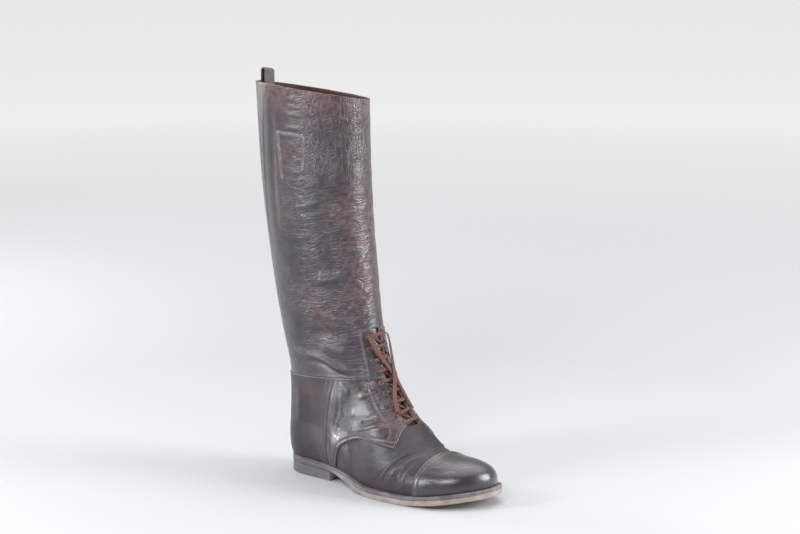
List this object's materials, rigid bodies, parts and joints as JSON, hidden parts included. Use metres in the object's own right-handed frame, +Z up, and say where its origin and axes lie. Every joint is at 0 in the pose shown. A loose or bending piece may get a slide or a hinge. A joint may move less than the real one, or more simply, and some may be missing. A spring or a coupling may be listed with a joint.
{
  "type": "officer boot",
  "caption": "Tall laced leather officer boot for the right foot, with a plain toe cap, stitched counter, laced ankle, straight shaft, welted sole and stacked heel.",
  "frame": {"origin": "middle of the bounding box on the floor that heel and forefoot stand on", "axes": "+Z up, +X from the heel to the toe, +Y to the inner side of the foot"},
  "size_m": [0.321, 0.119, 0.4595],
  "materials": {
    "upper_leather": "worn, dull polish",
    "loop_strap": "woven, matt",
    "lining_leather": "bare, matt",
    "sole_leather": "dressed edge, scuffed",
    "heel_leather": "stacked, dressed edge",
    "lace": "flat woven, waxed"
  },
  "bodies": {
    "root": {"leg": "upper_leather", "vamp": "upper_leather", "back_part": "upper_leather", "toe_cap": "upper_leather", "counter": "upper_leather", "quarter_lateral": "upper_leather", "quarter_medial": "upper_leather", "tongue": "upper_leather", "pull_loop": "loop_strap", "insole": "lining_leather", "welt": "sole_leather", "outsole": "sole_leather", "heel": "heel_leather", "lace_bars": "lace", "lace_end_lateral": "lace", "lace_end_medial": "lace"}
  },
  "joints": []
}
